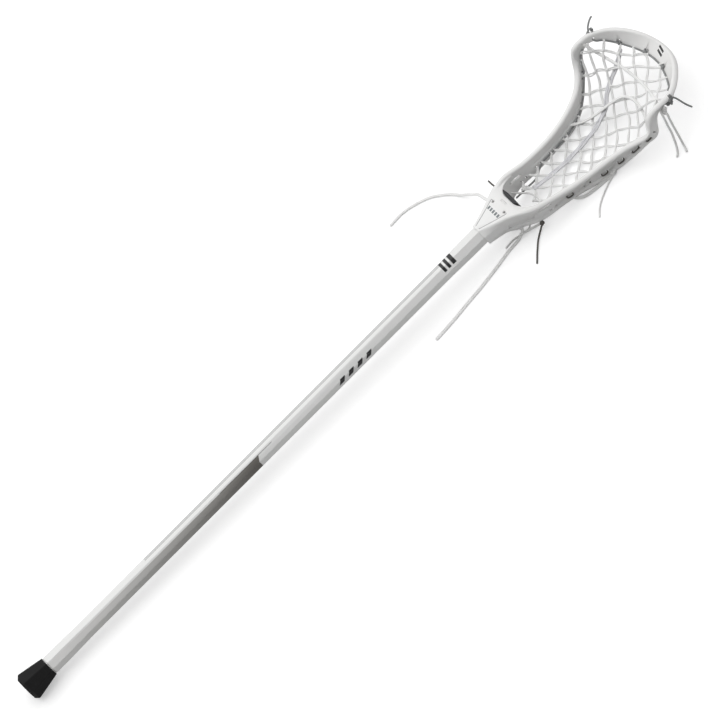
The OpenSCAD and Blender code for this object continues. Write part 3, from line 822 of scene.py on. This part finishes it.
def clipped(a, b):
    """The end of the strand from a, which is inside, towards b: b itself or the pocket's edge."""
    if inside(b):
        return b, False
    low, high = 0.0, 1.0
    for _ in range(14):
        t = (low + high) / 2
        low, high = (t, high) if inside((a[0] + (b[0] - a[0]) * t, a[1] + (b[1] - a[1]) * t)) else (low, t)
    return (a[0] + (b[0] - a[0]) * low, a[1] + (b[1] - a[1]) * low), True


def strand(pile, a, b):
    """One side of a net cell: two cords that lie apart in the middle and close up at the nodes."""
    a, b = np.array(a), np.array(b)
    length = max(np.linalg.norm(b - a), 1e-6)
    d = (b - a) / length
    n = np.array([-d[1], d[0]])
    bow = random.uniform(-1.6, 1.6) * min(1.0, length / 16)
    for side in (-1, 1):
        line = []
        for t in np.linspace(-0.04, 1.04, 9):
            belly = math.sin(math.pi * min(max(t, 0), 1))
            p = a + (b - a) * t + n * (bow * belly + side * (0.5 + 0.4 * belly))
            lift = 0.4 * side * math.cos(math.pi * t)
            line.append((p[0], p[1], float(pocket_z(p[0], p[1])) + lift))
        pile.tube(smooth(line, 2), NET_CORD, sides=8, step=1.3, weave=0.08, cap=False)


def net():
    """Diamond cells of doubled cord, knotted where they meet and looped round the strings at the edge."""
    pile = Pile()
    nodes = {}
    rows = int((net_edge[-1, 0] - net_edge[0, 0]) / NET_ROW) + 2
    for r in range(rows):
        for k in range(-8, 9):
            if (r + k) % 2 == 0:
                x = net_edge[0, 0] + 3 + NET_ROW * r + random.uniform(-2.2, 2.2)
                nodes[r, k] = (x, NET_STEP * k * (0.82 + 0.0009 * x) + random.uniform(-2.4, 2.4))
    for (r, k), a in nodes.items():
        for b in (nodes.get((r + 1, k - 1)), nodes.get((r + 1, k + 1))):
            if b is None or not (inside(a) or inside(b)):
                continue
            near, far = (a, b) if inside(a) else (b, a)
            end, cut = clipped(near, far)
            strand(pile, near, end)
            if cut:
                z = float(pocket_z(*end))
                loop = [(end[0] - 1.6, end[1], z), (end[0] + 1.6, end[1], z)]
                pile.tube(loop, 3.9, 3.4, sides=10, step=0.6)
    for x, y in nodes.values():
        if inside((x, y)):
            z = float(pocket_z(x, y))
            size = random.uniform(0.9, 1.15)
            pile.tube([(x - 2.4 * size, y, z), (x, y, z + 0.4), (x + 2.4 * size, y, z)], 3.6 * size, 2.8,
                      sides=10, step=0.8, weave=0.16)
            turn = random.choice((-1, 1))
            pile.tube([(x - 1.2, y - 2 * turn, z + 0.3), (x, y, z + 1.5), (x + 1.2, y + 2 * turn, z + 0.3)],
                      1.6, sides=8, step=0.6)
    piece = pile.make("pocket_net", HEAD, NET, "mesh_cord")
    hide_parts("pocket_mesh")
    return piece


net()


# ---------------------------------------------------------------- strings

RUNNER = [[84, 14, -23], [99, 13, -26], [134, 13, -30], [164, 15, -31], [189, 16, -28],
          [214, 21, -21], [227, 29, -14], [241, 34, -8], [255, 37, -2], [268, 43, 1.5],
          [277, 50, 3.5]]
UPPER_SHOOTER = [[250, 78, 24], [253, 68, 14], [258, 50, 5], [263, 26, 0], [265, 0, -2],
                 [264, -26, 0], [261, -50, 5], [257, -68, 14], [255, -80, 19]]
LOWER_SHOOTER = [[170, 46, -27], [184, 36, -28], [201, 26, -24], [222, 14, -15], [238, 2, -9],
                 [244, -16, -8], [240, -40, -11], [231, -62, -12], [225, -76, -9]]
BOTTOM_STRING = [[52.5, 47, 7.5], [53, 36, 5], [56, 31, -2], [61, 26, -12], [69, 21, -20],
                 [77, 12, -23], [80, 0, -24], [77, -12, -23], [69, -21, -21], [64, -26, -23],
                 [62, -31, -26]]
SIDE_LACE = [[110, -37, -29], [113, -41, -31], [120, -44, -34], [129, -46, -35.2],
             [140, -47.5, -35.6], [151, -48.5, -35.7], [160, -50, -35.2], [165, -51, -34.4]]


def runner():
    """The thick strand up the pocket: three cords side by side, tied together by the net."""
    pile = Pile()
    line = spaced(smooth(RUNNER, 6), 1.5)
    side = unit(np.cross(np.gradient(line, axis=0), (0, 0, 1)))
    far = along(line)
    for k in (-1, 0, 1):
        wave = (0.35 * np.sin(far / 4.2 + 2 * k))[:, None]
        rise = (0.3 * np.cos(far / 4.2 + 2 * k))[:, None] * np.array([[0, 0, 1]])
        pile.tube(line + side * (2.1 * k + wave) + rise, 2.6, 2.6, step=1.0, weave=0.14)
    piece = pile.make("runner_cords", HEAD, PALE, "runner_cord")
    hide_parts("pocket_runner")


def top_string():
    pile = Pile()
    first = 43
    stations = list(range(first, END - first - 1, 2))
    inner = [HOOP.wall(i, 2.4, -STRING_D / 2 - 0.1) for i in stations]
    pile.tube(smooth([[262, 84, 26]] + inner + [[271, -79, 16]], 4), STRING_D)
    for k in SCOOP_HOLES[1:]:
        for i in (k, END - k):
            centre = HOOP.wall(i, 3.2, -1.2)
            pile.knot(centre, 6.4, 2.0, turn=i)
            hitch = ((2.0, -1.6), (5.0, -1.7), (SCOOP_HOLE_UP + 2.5, -0.2))
            for shift in (-0.45, 0.45):
                pile.tube(smooth([HOOP.wall(i + shift, u, o) for u, o in hitch], 4), 1.8)
    pile.knot([263, 84, 26.5], 6.0, 2.2, 0.4)
    pile.knot([269, 82.5, 29], 6.4, 2.2, 1.4)
    pile.knot([271, -79, 16], 8.4, 2.4, 1.1)
    pile.knot([267, -79.5, 18], 7.0, 2.3, 2.3)
    pile.knot([274, -77.5, 18], 6.4, 2.2, 0.3)
    pile.knot([271.5, -80.5, 21.5], 8.4, 2.6, 0.7)
    pile.knot([275, -79, 24], 6.6, 2.3, 1.7)
    piece = pile.make("top_string_braid", HEAD, GREY, "grey_string")
    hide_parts("top_string")


def sidewall_string(side):
    """The string along the wall's lower edge, its wraps through pairs of holes, and on the right short dark
    plugs that fill the rest.
    """
    pile = Pile()
    stations = [mirrored(i, side) for i in range(11, 39, 3)]
    free = [(61.5, 22.8 * side, -24), (80, 24.2 * side, -26), (97, 26 * side, -27.5)]
    pile.tube(smooth(free + [hang(i) for i in stations], 4), STRING_D)
    pairs = [(10, 11), (16, 17), (19, 20), (22, 24), (27, 29)]
    if side > 0:
        pairs += [(7, 8), (13, 14)]
    else:
        for k in (7, 8, 13, 14, 32):
            # On the right, short dark plugs fill the holes that have no wraps
            i = mirrored(k, side)
            pile.tube([HOOP.wall(i, HOLE_UP, -1.2), HOOP.wall(i, HOLE_UP, WALL_T - 1.4)], 2.8)
    for a, b in pairs:
        i, j = mirrored(a, side), mirrored(b, side)
        m = (i + j) / 2
        route = [(i, HOLE_UP, -1.2), (i, HOLE_UP, 0.5), (i, HOLE_UP, WALL_T - 0.4),
                 (i * 0.8 + j * 0.2, HOLE_UP, WALL_T + 0.6), (m, HOLE_UP, WALL_T + 0.7),
                 (j * 0.8 + i * 0.2, HOLE_UP, WALL_T + 0.6), (j, HOLE_UP, WALL_T - 0.4),
                 (j, HOLE_UP, 0.5), (j, HOLE_UP, -1.2)]
        pile.tube(smooth([HOOP.wall(*r) for r in route], 4), 1.9, ref=(0.1, 0.1, 1))
    name, material, slot = ("left", GREY, "grey_string") if side > 0 else ("right", DARK, "dark_string")
    piece = pile.make(name + "_wall_string", HEAD, material, slot)
    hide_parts(name + "_sidewall_string")


def bottom_string():
    """White across the throat, dark at its two tied ends."""
    line = smooth(BOTTOM_STRING, 6)
    pale = Pile()
    pale.tube(line[9:-7], STRING_D)
    pale.knot([80, 24.2, -26], 6.4, 2.2, 0.8)
    lace = [(33, -20.5, -26.2), (40, -22.5, -27.6), (50, -26, -28.6), (59, -29.5, -28.2), (65, -31, -25.5)]
    pale.tube(smooth(lace, 5), LACE_W, LACE_T)
    piece = pale.make("bottom_string_braid", HEAD, WHITE, "white_lace")
    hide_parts("bottom_string")
    dark = Pile()
    dark.tube(line[:10], STRING_D)
    dark.tube(line[-8:], STRING_D)
    dark.knot([62, -32.5, -27], 7.0, 2.4, 0.5)
    dark.knot([62.8, -32, -26.2], 6.0, 2.2, 1.9)
    dark.make("bottom_string_ends", HEAD, DARK, "dark_string")


def side_lace():
    pile = Pile()
    line = smooth(SIDE_LACE, 6)
    for k in (-1, 1):
        pile.tube(line + np.array([0, 0.9 * k, 0.5 + 0.5 * k]), STRING_D)
    pile.knot([164, -51, -33.2], 8.0, 2.6, 0.2)
    pile.knot([167, -51.5, -31.5], 7.0, 2.6, 1.3)
    piece = pile.make("side_lace_braid", HEAD, WHITE, "white_lace")
    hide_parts("side_lace")


def shooters():
    for name, points in (("upper", UPPER_SHOOTER), ("lower", LOWER_SHOOTER)):
        pile = Pile()
        line = smooth(points, 6) + np.array([0, 0, SHOOTER_LIFT])
        pile.tube(line, SHOOTER_D + 1.4, SHOOTER_D - 0.2, step=0.9, weave=0.12)
        if name == "upper":
            pile.knot([257, -81.5, 15], 9.5, 3.2, 0.9)
            pile.knot([260, -82, 19], 7.5, 2.8, 2.1)
        piece = pile.make(name + "_shooting_braid", HEAD, WHITE, "white_lace")
        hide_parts(name + "_shooting_string")


runner()
top_string()
sidewall_string(1)
sidewall_string(-1)
bottom_string()
side_lace()
shooters()


# ---------------------------------------------------------------- carried-over CAD pieces

def finish_cad(name, material, bevel, segments=3):
    """A CAD node in its real material, with its hard edges rounded."""
    node = frame["nodes"][name]
    node.data.materials.clear()
    node.data.materials.append(material)
    weld = node.modifiers.new("weld", "WELD")
    weld.merge_threshold = 0.00001
    round_off = node.modifiers.new("bevel", "BEVEL")
    round_off.width = bevel
    round_off.segments = segments
    round_off.limit_method = "ANGLE"
    round_off.angle_limit = math.radians(25)
    round_off.harden_normals = True


finish_cad("shaft", PRINTED, 0.0005)
finish_cad("end_cap", RUBBER, 0.0006)
finish_cad("ball_stop", FOAM, 0.0006)
finish_cad("head_screw", STEEL, 0.0003)


# ---------------------------------------------------------------- floor and light

def make_floor():
    bpy.ops.mesh.primitive_plane_add(size=60, location=(0, 0, -0.0002))
    floor = bpy.context.object
    floor.name = "floor"
    s = Shader("floor", (0.66, 0.66, 0.66), 0.95, Specular_IOR_Level=0.05, Emission_Color=(1, 1, 1, 1))
    s.colour(s.mix(s.noise(s.place(), 3.0), (0.65, 0.65, 0.65), (0.67, 0.67, 0.67)))
    glow = s.math("MULTIPLY", s.node("LightPath").outputs["Is Camera Ray"], 0.42)
    s.set(s.bsdf, "Emission Strength", glow)
    floor.data.materials.append(s.mat)


def make_light():
    """A broad soft light from above and a little to the stick's left, and a sky that dims to its right."""
    data = bpy.data.lights.new("key", "SUN")
    data.energy = 1.7
    data.angle = math.radians(95)
    lamp = bpy.data.objects.new("key", data)
    lamp.rotation_mode = "QUATERNION"
    lamp.rotation_quaternion = Vector((0.0, -0.15, -1)).to_track_quat("-Z", "Y")
    bpy.context.scene.collection.objects.link(lamp)
    world = bpy.data.worlds.new("studio")
    world.use_nodes = True
    tree = world.node_tree
    sky = tree.nodes["Background"]
    ray = tree.nodes.new("ShaderNodeTexCoord")
    lean = tree.nodes.new("ShaderNodeVectorMath")
    lean.operation = "DOT_PRODUCT"
    lean.inputs[1].default_value = (0, 0.8, 0.5)
    share = tree.nodes.new("ShaderNodeMapRange")
    share.inputs[1].default_value = -0.8
    share.inputs[2].default_value = 0.9
    share.inputs[3].default_value = 0.0
    share.inputs[4].default_value = 0.86
    tree.links.new(ray.outputs["Generated"], lean.inputs[0])
    tree.links.new(lean.outputs["Value"], share.inputs[0])
    tree.links.new(share.outputs[0], sky.inputs[1])
    sky.inputs[0].default_value = (1, 1, 1, 1)
    bpy.context.scene.world = world
    bpy.context.scene.view_settings.view_transform = "Standard"


make_floor()
make_light()
